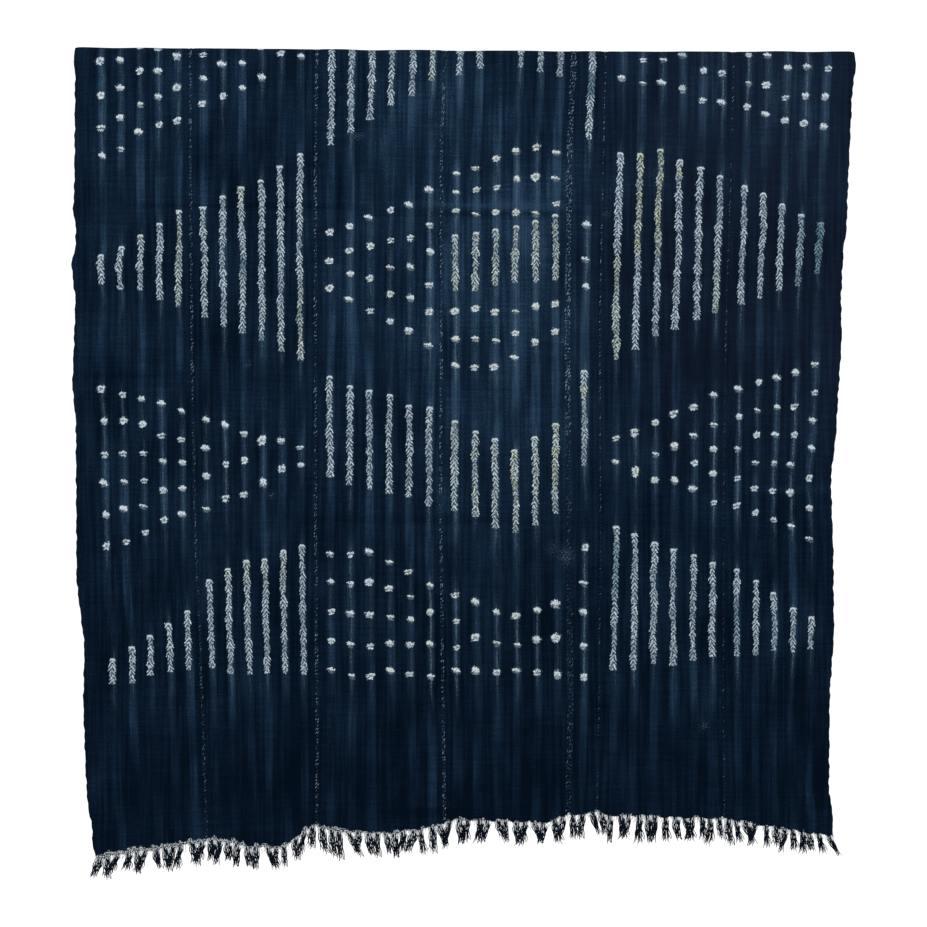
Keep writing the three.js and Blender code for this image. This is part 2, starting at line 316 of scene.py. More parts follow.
def depth_of(layer, x, drop):
    """How far in front of the fold's middle a layer hangs, below zero, or behind it."""
    relief = oval_sum(SWELLS, x, drop, "depth") * smooth_step(drop, FOLD_DROP, RELIEF_STARTS)
    return layer["side"] * (FOLD_RADIUS + layer["echo"] * relief)


def hanging(strip, share, fall, layer):
    """The middle of a hanging layer: its points, and how far down the layer they are."""
    hem_x, hem_drop = hem_point(strip, share, layer)
    start = FOLD_DROP - read_off(CREST, "x", "z", hem_x)
    drop = start + (hem_drop - start) * fall
    x = across_strip(strip, share, drop, layer)
    points = np.stack([x, depth_of(layer, x, drop), -drop], axis=-1)
    return points, drop - start


def over_fold(strip, share, turn):
    """The half turn over the fold, from the front at 0 to the back at 1: points, and the way out."""
    front = across_strip(strip, share, FOLD_DROP, LAYERS["front"])
    back = across_strip(strip, share, FOLD_DROP, LAYERS["back"])
    x = front + (back - front) * turn
    angle = turn * math.pi
    centre = read_off(CREST, "x", "z", x) - FOLD_DROP
    outward = np.stack([np.zeros_like(x), -np.cos(angle), np.sin(angle)], axis=-1)
    points = np.stack([x, np.zeros_like(x), centre], axis=-1) + outward * FOLD_RADIUS
    return points, outward


def lay(strip, share, row):
    """Points of a strip, the way out of them, and how far down the cloth they are.

    Row 0 is the front hem. Down the cloth is the drop on the front layer, and it runs on
    below zero over the fold and down the back.
    """
    share, row = np.broadcast_arrays(np.asarray(share, float), np.asarray(row, float))
    fall = np.clip(1 - row / FRONT_ROWS, 0, 1)
    turn = np.clip((row - FRONT_ROWS) / FOLD_ROWS, 0, 1)
    back_fall = np.clip((row - FRONT_ROWS - FOLD_ROWS) / BACK_ROWS, 0, 1)
    front, front_length = hanging(strip, share, fall, LAYERS["front"])
    back, back_length = hanging(strip, share, back_fall, LAYERS["back"])
    fold, fold_out = over_fold(strip, share, turn)
    on_fold = (turn > 0) & (turn < 1)
    on_back = turn >= 1
    points = np.where(on_back[..., None], back, np.where(on_fold[..., None], fold, front))
    outward = np.zeros_like(points)
    outward[..., 1] = np.where(on_back, 1, -1)
    outward = np.where(on_fold[..., None], fold_out, outward)
    down = FOLD_DROP + front_length - FOLD_LENGTH * turn - back_length
    return points, outward, down


# Marks: the attributes that tell the dye where each resist column, line and dot is

def column_number(strip, share, down):
    """A column's own number at its middle, and in between by distance."""
    first, last = strip["columns"]
    fall = np.clip(down / FRONT_HEM["drop"][0], 0, 1)
    start = strip["top_shares"][0] + (strip["hem_shares"][0] - strip["top_shares"][0]) * fall
    end = strip["top_shares"][1] + (strip["hem_shares"][1] - strip["top_shares"][1]) * fall
    if first == last:
        width = SEAMS[strip["right"]][0] - SEAMS[strip["left"]][0]
        number = first + (share - start) * width / COLUMN_PITCH
    else:
        number = first + (share - start) / (end - start) * (last - first)
    return np.clip(number, first - 0.5, last + 0.5)


def column_marks(number):
    """The lines and the groups of dots of one column: tops, low ends and how far apart dots are."""
    marks = {"line": [], "dots": []}
    for band in BANDS:
        if not band["columns"][0] <= number <= band["columns"][-1]:
            continue
        top = read_off(band, "columns", "top", number) + stray(MARK_JITTER)
        low = read_off(band, "columns", "low", number) + stray(MARK_JITTER)
        if band["kind"] == "line" and low - top < SHORTEST_LINE:
            continue
        pitch = band.get("pitch", DOT_PITCH)
        if "dots" in band:
            pitch = (low - top) / (band["dots"] - 1)
        marks[band["kind"]].append((top, low, pitch))
        if BACK_BANDS_FROM < (top + low) / 2 < BACK_BANDS_TO:
            marks[band["kind"]].append((top - REPEAT, low - REPEAT, pitch))
    return marks


COLUMN_MARKS = {number: column_marks(number) for number in range(1, STRIPS[-1]["columns"][1] + 1)}
LINE_REACH = 12.0


def line_ends(number, down):
    """How far each place is below a line's top end and above its low end, at most LINE_REACH."""
    below = np.full(down.shape, -LINE_REACH)
    above = np.full(down.shape, -LINE_REACH)
    best = np.full(down.shape, -np.inf)
    for top, low, _ in COLUMN_MARKS[number]["line"]:
        inside = np.minimum(down - top, low - down)
        nearer = inside > best
        best = np.where(nearer, inside, best)
        below = np.where(nearer, down - top, below)
        above = np.where(nearer, low - down, above)
    return np.clip(below, -LINE_REACH, LINE_REACH), np.clip(above, -LINE_REACH, LINE_REACH)


# Each dot's own stretch of the count starts this much before its whole number, and each group of
# dots starts at a number of its own
LEAD = 0.25
GROUP_START = 20


def dot_count(number, down):
    """A count that is whole at each dot, and 1 or 0 for where the column has dots at all."""
    count = np.full(down.shape, -LEAD)
    dotted = np.zeros(down.shape)
    best = np.full(down.shape, np.inf)
    for group, (top, low, usual) in enumerate(COLUMN_MARKS[number]["dots"]):
        dots = max(1, round((low - top) / usual) + 1)
        pitch = (low - top) / (dots - 1) if dots > 1 else DOT_PITCH
        steps = (down - top) / pitch
        reach = np.clip(steps, -LEAD, dots - LEAD)
        away = np.abs(steps - reach)
        nearer = away < best
        best = np.where(nearer, away, best)
        count = np.where(nearer, reach + GROUP_START * group, count)
        dotted = np.where(nearer, (away == 0).astype(float), dotted)
    return count, dotted


# How soon a column's pale run fades above and below its marks
TRACE_ABOVE = 22.0
TRACE_BELOW = 48.0
TRACE_HOLDS = 8.0
TRACE_SHARES = (0.6, 1.15)


def trace_of(number, down):
    """The pale run that a tied column leaves in the dye: whole beside its marks, then fading."""
    trace = np.zeros(down.shape)
    for top, low, _ in COLUMN_MARKS[number]["line"] + COLUMN_MARKS[number]["dots"]:
        above = np.exp(-np.clip(top - down, 0, None) / TRACE_ABOVE)
        below = np.exp(-np.clip(down - low - TRACE_HOLDS, 0, None) / TRACE_BELOW)
        trace = np.maximum(trace, above * below)
    return trace * SWAYS.uniform(*TRACE_SHARES)


# How softly a tint starts and ends down the cloth
TINT_EDGE = 6.0


def tint_of(tint, column, down):
    """How strongly the marks are tinted at each place, from 0 to 1."""
    much = np.zeros(down.shape)
    for row in TINTS:
        if row["tint"] != tint:
            continue
        first, last = row["columns"]
        top, low = row["down"]
        inside = (column > first - 0.5) & (column < last + 0.5)
        starts = smooth_step(down, top - TINT_EDGE, top + TINT_EDGE)
        ends = smooth_step(down, low - TINT_EDGE, low + TINT_EDGE)
        much = np.maximum(much, np.where(inside, starts * (1 - ends) * row["much"], 0))
    return much


# Mesh helpers

def deselect():
    bpy.ops.object.select_all(action="DESELECT")


def name_piece(piece, name):
    piece.name = name
    piece.data.name = name
    return piece


def get_points(mesh):
    flat = np.empty(len(mesh.vertices) * 3)
    mesh.vertices.foreach_get("co", flat)
    return flat.reshape(-1, 3)


def set_points(mesh, points):
    mesh.vertices.foreach_set("co", np.ascontiguousarray(points, float).ravel())
    mesh.update()


def set_attribute(mesh, name, values):
    attribute = mesh.attributes.get(name) or mesh.attributes.new(name, "FLOAT", "POINT")
    attribute.data.foreach_set("value", np.ascontiguousarray(values, np.float32).ravel())


def copy_piece(piece):
    twin = piece.copy()
    twin.data = piece.data.copy()
    bpy.context.scene.collection.objects.link(twin)
    return twin


def join(pieces, name):
    deselect()
    for piece in pieces:
        piece.select_set(True)
    bpy.context.view_layer.objects.active = pieces[0]
    bpy.ops.object.join()
    return name_piece(pieces[0], name)


def start_thread(name, sides, radius, turn=0.0):
    """The flat end of a thread, turned about Y, in edit mode with all of it selected."""
    deselect()
    bpy.ops.mesh.primitive_circle_add(vertices=sides, radius=radius, fill_type="NGON", rotation=(0, turn, 0))
    thread = name_piece(bpy.context.object, name)
    bpy.ops.object.transform_apply(location=False, rotation=True, scale=False)
    bpy.ops.object.mode_set(mode="EDIT")
    bpy.ops.mesh.select_all(action="SELECT")
    return thread


def draw_thread(x, y, z):
    bpy.ops.mesh.extrude_region_move(TRANSFORM_OT_translate={"value": (x, y, z)})


def end_thread():
    bpy.ops.mesh.select_all(action="SELECT")
    bpy.ops.mesh.normals_make_consistent(inside=False)
    bpy.ops.object.mode_set(mode="OBJECT")


def discard(piece):
    mesh = piece.data
    bpy.data.objects.remove(piece)
    bpy.data.meshes.remove(mesh)


# The strips of cloth: the cloth sinks beside its seams, and puckers in waves at random slants
FURROW_DEPTH = 0.9
FURROW_WIDTH = 3.0
PUCKER_DEPTH = 0.55
PUCKER_SHARE = 0.6
PUCKERS = [
    (SWAYS.uniform(0.02, 0.11), SWAYS.uniform(-0.09, 0.09), SWAYS.uniform(0, 6.28)) for _ in range(9)
]
SHARPEST_EDGE = math.radians(50)
FAR_FROM_HEM = 50.0
FEWEST_CELLS = 10


def pucker(x, down):
    """Slow unevenness of hand-woven cloth."""
    waves = [np.sin(across * x + along * down + start) for across, along, start in PUCKERS]
    return PUCKER_DEPTH * sum(waves) / math.sqrt(len(waves))


def furrow(away):
    """How far the cloth sinks beside a seam or a selvedge."""
    return FURROW_DEPTH * np.exp(-((away / FURROW_WIDTH) ** 2))


def detail_height(strip, share, points, down):
    """How far the cloth stands out from the plain hang, along the way out."""
    x = points[:, 0]
    width = (edge_at(strip["right"], -points[:, 2], LAYERS["front"])
             - edge_at(strip["left"], -points[:, 2], LAYERS["front"]))
    from_edge = np.minimum(share, 1 - share) * width
    creased = oval_sum(CREASES, x, down, "depth") * smooth_step(down, FOLD_DROP, RELIEF_STARTS)
    return creased + PUCKER_SHARE * pucker(x, down) - furrow(from_edge)


def make_strip(strip):
    """One strip: a fine grid laid over the fold, given its marks and then its thickness."""
    rows = FRONT_ROWS + FOLD_ROWS + BACK_ROWS
    width = edge_at(strip["right"], 0, LAYERS["front"]) - edge_at(strip["left"], 0, LAYERS["front"])
    cells = max(FEWEST_CELLS, round(width / CELL_WIDTH))
    deselect()
    bpy.ops.mesh.primitive_grid_add(x_subdivisions=cells, y_subdivisions=rows, size=1)
    cloth = name_piece(bpy.context.object, f"cloth_{strip['name']}")
    flat = get_points(cloth.data)
    share = flat[:, 0] + 0.5
    row = (flat[:, 1] + 0.5) * rows
    points, outward, down = lay(strip, share, row)
    points = points + outward * detail_height(strip, share, points, down)[:, None]
    set_points(cloth.data, points * MM)

    column = column_number(strip, share, down)
    nearest = np.clip(np.round(column), *strip["columns"]).astype(int)
    below, above = np.zeros_like(down), np.zeros_like(down)
    count, dotted, trace = np.zeros_like(down), np.zeros_like(down), np.zeros_like(down)
    for number in range(strip["columns"][0], strip["columns"][1] + 1):
        own = nearest == number
        below[own], above[own] = line_ends(number, down[own])
        count[own], dotted[own] = dot_count(number, down[own])
        trace[own] = trace_of(number, down[own])
    x = points[:, 0]
    _, front_hem = hem_point(strip, share, LAYERS["front"])
    told = {
        "column": column,
        "below_top": below,
        "above_low": above,
        "dots": count,
        "dotted": dotted,
        "trace": trace,
        "warm": tint_of("warm", column, down),
        "cool": tint_of("cool", column, down),
        "pale": oval_sum(WASHES, x, down, "much"),
        "scuff": oval_sum(SCUFFS, x, down, "much"),
        # Painted light and shade along the creases, by how far they stand out or sink
        "crease": oval_sum(CREASES, x, down, "depth"),
        "from_hem": np.where(down > 0, front_hem - down, FAR_FROM_HEM),
    }
    for name, values in told.items():
        set_attribute(cloth.data, name, values)

    loops = np.empty(len(cloth.data.loops), int)
    cloth.data.loops.foreach_get("vertex_index", loops)
    cloth_map = np.stack([points[loops, 0], down[loops]], axis=1) * MM
    cloth.data.uv_layers[0].data.foreach_set("uv", cloth_map.ravel())

    wall = cloth.modifiers.new("thickness", "SOLIDIFY")
    wall.thickness = CLOTH_THICKNESS * MM
    wall.offset = 0
    bpy.ops.object.modifier_apply(modifier=wall.name)
    bpy.ops.object.shade_smooth_by_angle(angle=SHARPEST_EDGE)
    return cloth


# The sewing: one whip stitch, copied down each seam

STITCH_PITCH = 4.4
STITCH_LENGTH = 4.0
STITCH_RADIUS = 0.45
STITCH_SIDES = 5
STITCH_ARCH = (-0.55, 0.15, 0.45, 0.15, -0.55)
STITCH_LIFT = 0.1

# How far down the front the thread changes from its high paleness to its low one, and how far from
# the hems the sewing stops
SEWING_FADES = (380.0, 560.0)
SEWING_ENDS = 3.0

# How far stitches stray along the seam, across it and in slant, and how their lengths differ
STRAY_ALONG = 1.2
STRAY_ACROSS = 0.5
STRAY_SLANT = 16.0
LENGTH_SHARES = (0.5, 1.15)

# How pale a stitch is, as a share of its seam's paleness: at least this, and up to so much more
LEAST_PALE = 0.4
MORE_PALE = 1.1

# Points that a seam's path is read off at
PATH_POINTS = 1500


def make_stitch():
    """A stitch along X, arched over the seam in Z, in millimetres."""
    stitch = start_thread("stitch", STITCH_SIDES, STITCH_RADIUS, turn=math.radians(90))
    bpy.ops.transform.translate(value=(-STITCH_LENGTH / 2, 0, STITCH_ARCH[0]))
    step = STITCH_LENGTH / (len(STITCH_ARCH) - 1)
    for low, high in zip(STITCH_ARCH, STITCH_ARCH[1:]):
        draw_thread(step, 0, high - low)
    end_thread()
    return stitch


# The seams: how pale the thread shows, high and low on the front, how steeply it is sewn, and how
# far to the side of the seam each row of stitches is
SEWING = [
    {"seam": "s1", "pale": 0.54, "low_pale": 0.44, "slant": 60, "rows": (-0.8, 0.8)},
    {"seam": "s2", "pale": 0.68, "low_pale": 0.6, "slant": 60, "rows": (-1.0, 1.0)},
    {"seam": "s3", "pale": 0.6, "low_pale": 0.6, "slant": 66, "rows": (-1.2, 0.9)},
    {"seam": "s4", "pale": 0.74, "low_pale": 0.36, "slant": 64, "rows": (-3.0, -1.2, 0.6, 2.4)},
    {"seam": "s5", "pale": 0.56, "low_pale": 0.4, "slant": 62, "rows": (0.0,)},
    {"seam": "s6", "pale": 0.44, "low_pale": 0.36, "slant": 62, "rows": (0.0,)},
]


def sew(row, stitch):
    """One seam's stitches, on the outside of the cloth from the front hem to the back one."""
    strip = next(s for s in STRIPS if s["left"] == row["seam"])
    rows = np.linspace(0, FRONT_ROWS + FOLD_ROWS + BACK_ROWS, PATH_POINTS)
    points, outward, down = lay(strip, np.zeros_like(rows), rows)
    points[:, 0] -= GAP / 2
    places = [
        (place, offset)
        for offset in row["rows"]
        for place in np.arange(down.min() + SEWING_ENDS, down.max() - SEWING_ENDS, STITCH_PITCH)
    ]
    copies = []
    for place, offset in places:
        at = place + stray(STRAY_ALONG)
        middle = [np.interp(at, down[::-1], points[::-1, axis]) for axis in range(3)]
        middle[0] += offset + stray(STRAY_ACROSS)
        out = Vector([np.interp(at, down[::-1], outward[::-1, axis]) for axis in range(3)])
        side = Vector((1, 0, 0))
        upward = out.cross(side)
        basis = Matrix((side, upward, out)).transposed().to_4x4()
        turn = row["slant"] + stray(STRAY_SLANT)
        slant = Matrix.Rotation(math.radians(turn), 4, "Z")
        length = Matrix.Diagonal((SWAYS.uniform(*LENGTH_SHARES), 1, 1, 1))
        height = CLOTH_THICKNESS / 2 - furrow(offset) + STITCH_LIFT
        move = Matrix.Translation((Vector(middle) + out * height) * MM)
        twin = copy_piece(stitch)
        twin.data.transform(move @ Matrix.Scale(MM, 4) @ basis @ slant @ length)
        pale = row["pale"] + (row["low_pale"] - row["pale"]) * smooth_step(place, *SEWING_FADES)
        seen = pale * (LEAST_PALE + MORE_PALE * SWAYS.uniform() ** 2)
        set_attribute(twin.data, "pale", np.full(len(twin.data.vertices), seen))
        copies.append(twin)
    return join(copies, f"sewing_{row['seam']}")


# The fringe: a few knotted or loose locks of yarn, copied along the hems

YARN_RADIUS = 0.55
YARN_SIDES = 4
YARN_STEPS = 8
YARNS_IN_LOCK = 18
LOCK_LENGTH = 28.0

# A yarn thins by this share in each of its last steps
TIP_STEPS = 2
TIP_SHARE = 0.72

# How wide a lock is at its roots, and how far these reach into the hem
ROOT_SPREAD = 9.8
ROOT_OVERLAP = 2.0

# Every fourth yarn is broken off short, and the yarns of the core are darker than the outer ones
BROKEN_EVERY = 4
BROKEN_LENGTHS = (0.16, 0.42)
BROKEN_SPREAD = 1.35
WHOLE_LENGTHS = (0.84, 1.06)
CORE_REACH = 0.28
CORE_DARKER = 0.25

# How a yarn curls sideways and in depth: how far, how fast it turns along the yarn and from one
# yarn to the next, and how far any one yarn strays
SIDE_CURL = {"far": 0.7, "along": 11, "next": 1.9, "stray": 1.5}
DEPTH_CURL = {"far": 0.6, "along": 6, "next": 2.4, "stray": 0.3}

# A share of the locks leans towards the next, which leans back
PAIRED = 0.42
PAIRED_LEANS = (2.5, 7)

# How the locks of a fringe differ: in their place along the hem, in length, in lean, which is less
# at the cloth's corners, in slimness, in how the lean grows down the lock, and in how they wave
ROOT_STRAY = 0.22
LENGTH_STRAY = 4
LEAN_STRAY = 7
LEAN_LESS_FROM = 450
LEAN_NONE_AT = 480
SLIMNESS = (0.85, 1.25)
LEAN_GROWS = (0.8, 1.7)
WAVE = 1.2
WAVE_TURNS = 5

# How a lock draws in from its roots: its width at shares of its length, over the root width
LOCK_SHAPES = [
    {"fall": (0, 0.18, 0.5, 0.85, 1), "width": (1, 0.84, 0.9, 0.72, 0.84)},
    {"fall": (0, 0.15, 0.4, 0.75, 1), "width": (1, 0.66, 0.78, 0.95, 1.25)},
    {"fall": (0, 0.22, 0.55, 0.8, 1), "width": (1, 0.96, 0.8, 0.55, 0.4)},
    {"fall": (0, 0.12, 0.3, 0.6, 1), "width": (1, 0.8, 1.0, 0.9, 0.68)},
    {"fall": (0, 0.25, 0.5, 0.7, 1), "width": (1, 0.74, 0.54, 0.84, 1.18)},
    {"fall": (0, 0.16, 0.45, 0.7, 1), "width": (1, 0.95, 1.05, 0.8, 0.58)},
]


def make_yarn():
    """A straight yarn that hangs down from the origin, in millimetres, and thins to its tip."""
    yarn = start_thread("yarn", YARN_SIDES, YARN_RADIUS)
    for index in range(YARN_STEPS):
        draw_thread(0, 0, -LOCK_LENGTH / YARN_STEPS)
        if index >= YARN_STEPS - TIP_STEPS:
            bpy.ops.transform.resize(value=(TIP_SHARE, TIP_SHARE, 1))
    end_thread()
    return yarn


def curl_of(curl, index, fall):
    return curl["far"] * np.sin(index * curl["next"] + fall * curl["along"])


def make_lock(yarn, shape):
    """A bundle of yarns that draws together below the hem and frays at the tip."""
    yarns = []
    for index in range(YARNS_IN_LOCK):
        twin = copy_piece(yarn)
        points = get_points(twin.data)
        fall = np.clip(-points[:, 2] / LOCK_LENGTH, 0, 1)
        root = (index + 0.5) / YARNS_IN_LOCK - 0.5
        broken = index % BROKEN_EVERY == 1
        core = abs(root) < CORE_REACH
        draw = BROKEN_SPREAD if broken else read_off(shape, "fall", "width", fall)
        side = curl_of(SIDE_CURL, index, fall) * smooth_step(fall, 0.1, 0.5)
        swing = stray(SIDE_CURL["stray"]) * fall**2 + side
        points[:, 0] += root * ROOT_SPREAD * draw + swing
        depth = curl_of(DEPTH_CURL, index, fall) + stray(DEPTH_CURL["stray"])
        points[:, 1] += depth * smooth_step(fall, 0, 0.2)
        points[:, 2] *= SWAYS.uniform(*(BROKEN_LENGTHS if broken else WHOLE_LENGTHS))
        set_points(twin.data, points)
        set_attribute(twin.data, "fall", np.zeros(len(fall)) if broken else fall + CORE_DARKER * core)
        set_attribute(twin.data, "pale", np.full(len(fall), SWAYS.uniform(0, 1)))
        yarns.append(twin)
    return join(yarns, "lock")


def make_fringe(strip, layer_name, locks):
    """One strip's fringe at one hem: its locks, hung from the hem and leaned as the photo has them."""
    layer = LAYERS[layer_name]
    number = strip["locks"]
    pieces = []
    towards = 0.0
    for index in range(number):
        shift = stray(ROOT_STRAY) if 0 < index < number - 1 else 0.0
        share = (index + 0.5 + shift) / number
        root_x, root_drop = hem_point(strip, np.array(share), layer)
        if towards > 0:
            towards = -towards
        else:
            towards = SWAYS.uniform(*PAIRED_LEANS) if SWAYS.uniform() < PAIRED else 0.0
        length = read_off(FRINGE_REACH, "x", "length", root_x) + stray(LENGTH_STRAY)
        lean = read_off(FRINGE_REACH, "x", "lean", root_x) * layer["lean"] + towards
        lean += stray(LEAN_STRAY) * min(1.0, (LEAN_NONE_AT - abs(root_x)) / (LEAN_NONE_AT - LEAN_LESS_FROM))
        slimness = SWAYS.uniform(*SLIMNESS)
        twin = copy_piece(locks[int(SWAYS.integers(len(locks)))])
        points = get_points(twin.data)
        fall = np.clip(-points[:, 2] / LOCK_LENGTH, 0, 1.1)
        narrowed = 1 + (slimness - 1) * smooth_step(fall, 0, 0.2)
        wave = stray(WAVE) * np.sin(fall * WAVE_TURNS + SWAYS.uniform(0, 6)) * smooth_step(fall, 0, 0.3)
        x = root_x + points[:, 0] * narrowed + lean * fall ** SWAYS.uniform(*LEAN_GROWS) + wave
        hem_share = 1 - smooth_step(fall, 0, 0.35)
        root = root_drop + (hem_drop_at(layer, root_x + points[:, 0]) - root_drop) * hem_share
        drop = root - ROOT_OVERLAP - points[:, 2] * (length + ROOT_OVERLAP) / LOCK_LENGTH
        y = depth_of(layer, x, drop) + points[:, 1]
        set_points(twin.data, np.stack([x, y, -drop], axis=1) * MM)
        pieces.append(twin)
    fringe = join(pieces, f"yarns_{layer_name}_{strip['name'][-1]}")
    bpy.ops.object.shade_smooth()
    return fringe


# Materials: what nodes put out is reckoned with as numbers are

def linear(red, green, blue):
    """A colour seen on the cloth, 0 to 255, as Blender's own linear one."""
    channels = [value / 255 for value in (red, green, blue)]
    return tuple(c / 12.92 if c <= 0.04045 else ((c + 0.055) / 1.055) ** 2.4 for c in channels) + (1.0,)


class Signal:
    """What a node puts out. It adds, subtracts, multiplies and divides as a number does."""

    def __init__(self, nodes, socket):
        self.nodes = nodes
        self.socket = socket

    def __add__(self, other):
        return self.nodes.math("ADD", self, other)

    def __radd__(self, other):
        return self.nodes.math("ADD", other, self)

    def __sub__(self, other):
        return self.nodes.math("SUBTRACT", self, other)

    def __rsub__(self, other):
        return self.nodes.math("SUBTRACT", other, self)

    def __mul__(self, other):
        return self.nodes.math("MULTIPLY", self, other)

    def __truediv__(self, other):
        return self.nodes.math("DIVIDE", self, other)

    def __pow__(self, other):
        return self.nodes.math("POWER", self, other)

    def __abs__(self):
        return self.nodes.math("ABSOLUTE", self)


class Nodes:
    """Adds nodes to a tree. A value is a number, a colour or a signal."""

    def __init__(self, tree):
        self.tree = tree

    def add(self, kind, **settings):
        node = self.tree.nodes.new(kind)
        node.location = (len(self.tree.nodes) % 12 * 190, -(len(self.tree.nodes) // 12) * 220)
        for name, value in settings.items():
            setattr(node, name, value)
        return node

    def signals(self, node):
        return {socket.name: Signal(self, socket) for socket in node.outputs}

    def put(self, value, socket):
        if isinstance(value, Signal):
            self.tree.links.new(value.socket, socket)
        else:
            socket.default_value = value

    def math(self, operation, *values, clamp=False):
        node = self.add("ShaderNodeMath", operation=operation, use_clamp=clamp)
        for value, socket in zip(values, node.inputs):
            self.put(value, socket)
        return Signal(self, node.outputs[0])

    def step(self, value, low, high, to_low=0.0, to_high=1.0):
        """Goes smoothly from to_low, where the value is low or less, to to_high at high or more."""
        node = self.add("ShaderNodeMapRange", interpolation_type="SMOOTHSTEP")
        for given, socket in zip((value, low, high, to_low, to_high), node.inputs):
            self.put(given, socket)
        return Signal(self, node.outputs[0])

    def fade(self, value, low, high):
        """Whole where the value is low or less, and gone at high or more."""
        return self.step(value, low, high, 1.0, 0.0)

    def mix(self, factor, first, second):
        node = self.add("ShaderNodeMix", data_type="RGBA")
        colours = [socket for socket in node.inputs if socket.type == "RGBA"]
        for value, socket in zip((factor, first, second), (node.inputs["Factor"], *colours)):
            self.put(value, socket)
        return Signal(self, next(socket for socket in node.outputs if socket.type == "RGBA"))

    def vector(self, x, y, z=0.0):
        node = self.add("ShaderNodeCombineXYZ")
        for value, socket in zip((x, y, z), node.inputs):
            self.put(value, socket)
        return Signal(self, node.outputs[0])

    def split(self, vector):
        node = self.add("ShaderNodeSeparateXYZ")
        self.put(vector, node.inputs[0])
        return self.signals(node)

    def noise_at(self, place, scale=1.0, detail=2.0):
        node = self.add("ShaderNodeTexNoise", noise_dimensions="2D")
        for value, name in ((place, "Vector"), (scale, "Scale"), (detail, "Detail")):
            self.put(value, node.inputs[name])
        return Signal(self, node.outputs["Fac"])

    def noise(self, x, y, detail=1.0):
        """Smooth random values, a swell for about each unit of x and of y."""
        return self.noise_at(self.vector(x, y), detail=detail)

    def sway(self, x, y, much, detail=1.0):
        """Smooth random values about zero, at most half of this much either way."""
        return (self.noise(x, y, detail) - 0.5) * much

    def random(self, x, y, z=0.0):
        """Three random numbers that stay the same for the same three given."""
        node = self.add("ShaderNodeTexWhiteNoise", noise_dimensions="3D")
        self.put(self.vector(x, y, z), node.inputs["Vector"])
        parts = self.add("ShaderNodeSeparateColor")
        self.tree.links.new(node.outputs["Color"], parts.inputs[0])
        return self.signals(parts).values()

    def attribute(self, name):
        return self.signals(self.add("ShaderNodeAttribute", attribute_name=name))["Fac"]

    def object_place(self):
        return self.signals(self.add("ShaderNodeTexCoord"))["Object"]

    def give_out(self, **results):
        sockets = self.add("NodeGroupOutput").inputs
        for name, value in results.items():
            self.put(value, sockets[name])


def make_group(name, inputs, outputs):
    """An empty node group with named sockets: its nodes, and what it is given."""
    tree = bpy.data.node_groups.new(name, "ShaderNodeTree")
    for socket in inputs:
        tree.interface.new_socket(socket, in_out="INPUT", socket_type="NodeSocketFloat")
    for socket in outputs:
        tree.interface.new_socket(socket, in_out="OUTPUT", socket_type="NodeSocketFloat")
    nodes = Nodes(tree)
    return nodes, nodes.signals(nodes.add("NodeGroupInput"))


def use_group(nodes, tree, **values):
    node = nodes.add("ShaderNodeGroup", node_tree=tree)
    for name, value in values.items():
        nodes.put(value, node.inputs[name.replace("_", " ").capitalize()])
    return nodes.signals(node)


def make_weave_group():
    """Plain weave: warp down the strip, weft across it, in millimetres, with thicker threads in both."""
    n, given = make_group("hand_weave", ("Across", "Along", "Warp pitch", "Weft pitch"), ("Height", "Tone"))
    x, s = given["Across"], given["Along"]
    slub = n.noise(x * 0.9, s * 0.05, detail=2.0)
    bar = n.noise(x * 0.03, s * 0.8, detail=2.0)
    across = x / given["Warp pitch"] + bar * 0.8
    along = s / given["Weft pitch"] + slub * 0.8
    warp = abs(n.math("SINE", across * math.pi))
    weft = abs(n.math("SINE", along * math.pi))
    over = abs(n.math("MODULO", n.math("FLOOR", across) + n.math("FLOOR", along), 2.0))
    height = warp * (weft * 0.5 + 0.5) * over + weft * (warp * 0.3 + 0.35) * (1.0 - over)
    n.give_out(Height=height, Tone=height * 0.5 + (slub * 0.45 + bar * 0.3))
    return n.tree


# A stitched line, in millimetres: its least and greatest half width, how far it wanders and its
# peak leans, how far its threads are crumpled, and its herringbone, whose arms and the threads
# across them are so far apart and rise so steeply to the peak
LINE_HALF = (2.7, 5.0)
LINE_WANDER = 5.0
PEAK_LEAN = 6.0
CRUMPLE = 3.6
ARM_PITCH = 6.1
ARM_RISE = 1.5
CROSSING_PITCH = 8.3
CROSSING_RISE = 1.1


